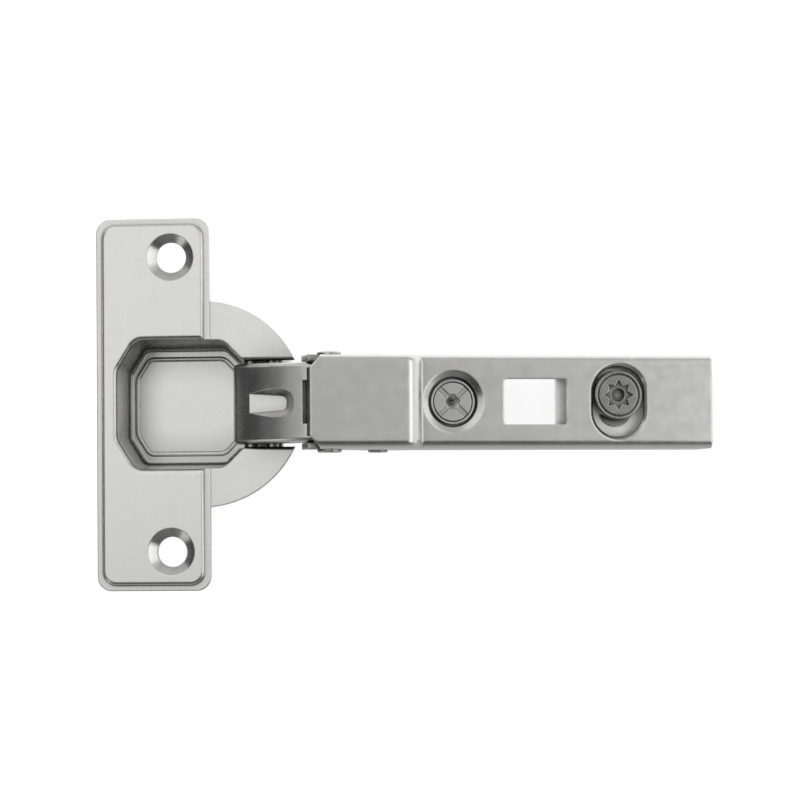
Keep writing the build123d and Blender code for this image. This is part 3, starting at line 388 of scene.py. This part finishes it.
def torsion_line(seat, start, radius, pitch, turns, legs):
    """Points of a torsion spring about +Y in three runs: a straight leg, the coil
    seat + r cos(t) x + r sin(t) y + p t / 2 pi Y for t from 0 to 2 pi turns, and a leg off its end."""
    x = np.array(start)
    axis = np.array((0.0, 1.0, 0.0))
    y = np.cross(axis, x)
    t = np.linspace(0.0, 2.0 * pi * turns, round(COIL_STEPS * turns) + 1)[:, None]
    coil = radius * np.cos(t) * x + radius * np.sin(t) * y + pitch * t / (2.0 * pi) * axis
    first = np.linspace(1.0, 1.0 / LEG_STEPS, LEG_STEPS)[:, None] * legs[0] * -y + coil[0]
    end = y * cos(t[-1, 0]) - x * sin(t[-1, 0])
    last = np.linspace(1.0 / LEG_STEPS, 1.0, LEG_STEPS)[:, None] * legs[1] * end + coil[-1]
    return [run + np.array(seat) for run in (first, coil, last)]


def ring_line(corners, radius):
    """Closed line through the corners of a convex outline, each corner cut back and rounded by an arc
    that is written as a quadratic blend of the corner and its two tangent points."""
    line = []
    t = np.linspace(0.0, 1.0, CORNER_STEPS)[:, None]
    for index, corner in enumerate(corners):
        before = corners[index - 1] - corner
        after = corners[(index + 1) % len(corners)] - corner
        enter = corner + before / np.linalg.norm(before) * radius
        leave = corner + after / np.linalg.norm(after) * radius
        line.append((1.0 - t) ** 2 * enter + 2.0 * t * (1.0 - t) * corner + t ** 2 * leave)
    return np.vstack(line)


UP = (0.0, 0.0, 1.0)
ACROSS = (0.0, 1.0, 0.0)
TUBE_SIDES = 20
COIL_STEPS = 48
LEG_STEPS = 6
LAP_STEPS = 4
CORNER_STEPS = 9

bead_corners = [np.array((x * MM, y * MM, FLOOR_LEVEL)) for x, y in BEAD_CORNERS]
bead_corners += [np.array((x * MM, -y * MM, FLOOR_LEVEL)) for x, y in reversed(BEAD_CORNERS)]
bead_line = ring_line(bead_corners, BEAD_CORNER)
bead_section = swell_section(BEAD_HALF_WIDTH, BEAD_RISE, BEAD_ROOT)
bead = tube_object("cup_floor_line", bead_line, bead_section, UP, True, NICKEL_CUP)
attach(bead, "cup")

closing_line = np.vstack(torsion_line(
    CLOSING_SEAT, CLOSING_START, CLOSING_RADIUS, CLOSING_PITCH, CLOSING_TURNS, CLOSING_LEGS
))
closing_section = round_section(CLOSING_WIRE)
closing = tube_object("closing_spring_wire", closing_line, closing_section, ACROSS, False, SPRING_STEEL)
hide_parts("closing_spring")
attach(closing, "cup")

# The catch spring's end leg lies on the lever's tab and swings with it about the coil's own axis
first_leg, coil, last_leg = torsion_line(
    CATCH_SEAT, CATCH_START, CATCH_RADIUS, CATCH_PITCH, CATCH_TURNS, CATCH_LEGS
)
coil_line = np.vstack([first_leg, coil])
leg_line = np.vstack([coil[-LAP_STEPS:], last_leg])
catch_section = round_section(CATCH_WIRE)
catch = tube_object("catch_spring_coil", coil_line, catch_section, ACROSS, False, SPRING_STEEL)
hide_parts("catch_spring")
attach(catch, "carrier")
leg = tube_object("catch_spring_leg", leg_line, catch_section, ACROSS, False, SPRING_STEEL)
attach(leg, "catch_lever")


# Studio
def emission_material(name, strength):
    """White glow of a studio card."""
    material = bpy.data.materials.new(name)
    material.use_nodes = True
    tree = material.node_tree
    tree.nodes.clear()
    glow = tree.nodes.new("ShaderNodeEmission")
    glow.inputs["Color"].default_value = WHITE
    glow.inputs["Strength"].default_value = strength
    sink = tree.nodes.new("ShaderNodeOutputMaterial")
    tree.links.new(glow.outputs[0], sink.inputs["Surface"])
    return material


def reflected_only(piece):
    """Keep a studio card out of every ray but reflections."""
    piece.visible_camera = False
    piece.visible_diffuse = False
    piece.visible_shadow = False
    piece.visible_transmission = False


def curved_card(name, spine, first, last, radius, reach, strength):
    """Studio card seen only in reflections: a strip of a cylinder round the hinge. Its spine is the
    cylinder's axis, X or Y, along which it reaches from one end to the other; first and last are
    angles from straight above, positive to +X or +Y."""
    turn = np.linspace(radians(first), radians(last), CARD_STEPS)[:, None]
    ends = np.array(reach)[None, :]
    side, rise, run = np.broadcast_arrays(radius * np.sin(turn), radius * np.cos(turn), ends)
    order = (side, run, rise) if spine == "Y" else (run, side, rise)
    points = np.stack(order, axis=-1) + np.array(STUDIO_MIDDLE)
    reflected_only(surface_object(name, points, False, False, emission_material(name, strength)))


def lying_card(name, x_range, y_range, level, strength):
    """Level card seen only in reflections: the plane z = level over the ranges of x and y."""
    x, y = np.meshgrid(x_range, y_range, indexing="ij")
    points = np.stack([x, y, np.full(x.shape, level)], axis=-1)
    reflected_only(surface_object(name, points, False, False, emission_material(name, strength)))


WHITE = (1.0, 1.0, 1.0, 1.0)
STUDIO_MIDDLE = Vector((35.0, 0.0, -5.0)) * MM
CARD_STEPS = 13
WHOLE_REACH = (-0.8, 0.8)
LINK_REACH = (-0.3, 0.3)
NEAR_REACH = (-0.35, 0.75)
NEAR_RADIUS = 0.45
SIDE_RADIUS = 0.55

# Name, spine, first and last angle in degrees, radius, reach along the spine, strength
CARDS = [
    ("Near dark card", "X", -10.0, -52.0, NEAR_RADIUS, NEAR_REACH, 0.05),
    ("Near grey card", "X", -52.0, -78.0, NEAR_RADIUS, NEAR_REACH, 0.2),
    ("Near low card", "X", -78.0, -125.0, NEAR_RADIUS, WHOLE_REACH, 0.42),
    ("Far low card", "X", 62.0, 118.0, NEAR_RADIUS, WHOLE_REACH, 0.58),
    ("Arm card", "Y", 14.0, 47.0, SIDE_RADIUS, WHOLE_REACH, 0.56),
    ("Bright box", "Y", 47.0, 58.0, SIDE_RADIUS, LINK_REACH, 2.2),
    ("Bright low box", "Y", 58.0, 76.0, SIDE_RADIUS, LINK_REACH, 0.9),
    ("Left bright card", "Y", -19.0, -30.0, SIDE_RADIUS, LINK_REACH, 1.2),
    ("Link light card", "Y", -30.0, -48.0, SIDE_RADIUS, LINK_REACH, 0.45),
    ("Link grey card", "Y", -48.0, -66.0, SIDE_RADIUS, LINK_REACH, 0.15),
    ("Link dark card", "Y", -66.0, -105.0, SIDE_RADIUS, LINK_REACH, 0.05),
]
for card in CARDS:
    curved_card(*card)

# Floor, pale and glowing, that keeps the hinge's soft shadow
FLOOR_TONE = 0.5
FLOOR_ROUGHNESS = 0.9
FLOOR_GLOW = 0.6
FLOOR_DROP = 1.0 * MM
FLOOR_HALF = 3.0
floor_level = CAD_BOX[0][2] - FLOOR_DROP
floor_mesh = bpy.data.meshes.new("Studio floor")
floor_mesh.from_pydata(
    [(u * FLOOR_HALF, v * FLOOR_HALF, floor_level) for u, v in ((-1, -1), (1, -1), (1, 1), (-1, 1))],
    [], [(0, 1, 2, 3)],
)
floor = bpy.data.objects.new("Studio floor", floor_mesh)
bpy.context.scene.collection.objects.link(floor)
floor_paint = bpy.data.materials.new("Studio floor")
floor_paint.use_nodes = True
floor_shader = floor_paint.node_tree.nodes["Principled BSDF"]
floor_shader.inputs["Base Color"].default_value = (FLOOR_TONE, FLOOR_TONE, FLOOR_TONE, 1.0)
floor_shader.inputs["Roughness"].default_value = FLOOR_ROUGHNESS
floor_shader.inputs["Specular IOR Level"].default_value = 0.0
floor_shader.inputs["Emission Color"].default_value = WHITE
floor_shader.inputs["Emission Strength"].default_value = FLOOR_GLOW
floor_mesh.materials.append(floor_paint)

# Grey card on the floor before the hinge's near side, mirrored in its lower edges
GREY_CARD_X = (-0.3, 0.37)
GREY_CARD_Y = (-0.45, -0.006)
GREY_CARD_LIFT = 0.3 * MM
GREY_CARD_GLOW = 0.5
grey_card_level = floor_level + GREY_CARD_LIFT
lying_card("Near floor card", GREY_CARD_X, GREY_CARD_Y, grey_card_level, GREY_CARD_GLOW)

# White surroundings for the camera and for reflections, a little less for the light they give
WORLD_FILL = 0.85
world = bpy.data.worlds.new("Studio")
bpy.context.scene.world = world
world.use_nodes = True
tree = world.node_tree
tree.nodes.clear()
path = tree.nodes.new("ShaderNodeLightPath")
seen = math_node(tree, "MAXIMUM", path.outputs["Is Camera Ray"], path.outputs["Is Glossy Ray"])
seen = math_node(tree, "MAXIMUM", seen, path.outputs["Is Transmission Ray"])
plain = tree.nodes.new("ShaderNodeBackground")
plain.inputs["Color"].default_value = WHITE
plain.inputs["Strength"].default_value = WORLD_FILL
white = tree.nodes.new("ShaderNodeBackground")
white.inputs["Color"].default_value = WHITE
blend = tree.nodes.new("ShaderNodeMixShader")
tree.links.new(seen, blend.inputs["Fac"])
tree.links.new(plain.outputs[0], blend.inputs[1])
tree.links.new(white.outputs[0], blend.inputs[2])
sink = tree.nodes.new("ShaderNodeOutputWorld")
tree.links.new(blend.outputs[0], sink.inputs["Surface"])

# Soft light from overhead
KEY_HEIGHT = 1.0
KEY_WATTS = 6.0
KEY_SIZE = 0.8
key_data = bpy.data.lights.new("Overhead box", "AREA")
key_data.shape = "SQUARE"
key_data.size = KEY_SIZE
key_data.energy = KEY_WATTS
key = bpy.data.objects.new("Overhead box", key_data)
bpy.context.scene.collection.objects.link(key)
key.location = STUDIO_MIDDLE + Vector((0.0, 0.0, KEY_HEIGHT))
key.visible_glossy = False
key.visible_camera = False

# Camera
camera_data = bpy.data.cameras.new("Photo camera")
camera = bpy.data.objects.new("Photo camera", camera_data)
bpy.context.scene.collection.objects.link(camera)
heading = Vector((sin(TILT_TO_ARM), 0.0, cos(TILT_TO_ARM))) * cos(TILT_TO_NEAR_SIDE)
heading -= Vector((0.0, sin(TILT_TO_NEAR_SIDE), 0.0))
level = Vector((cos(TILT_TO_ARM), 0.0, -sin(TILT_TO_ARM)))
upright = heading.cross(level)
rightward = level * cos(ROLL) - upright * sin(ROLL)
upward = upright * cos(ROLL) + level * sin(ROLL)
half = PHOTO_PIXELS / 2
aim = (rightward * (half - CUP_PIXEL[0]) + upward * (CUP_PIXEL[1] - half)) * (MM / PIXELS_PER_MM)
camera.matrix_world = Matrix.Translation(aim + heading * CAMERA_DISTANCE) @ Matrix(
    (rightward, upward, heading)
).transposed().to_4x4()
camera_data.sensor_width = SENSOR_MM
camera_data.lens = SENSOR_MM * CAMERA_DISTANCE / (PHOTO_PIXELS / PIXELS_PER_MM * MM)
camera_data.clip_end = CAMERA_END
bpy.context.scene.camera = camera
bpy.context.scene.view_settings.view_transform = "Standard"
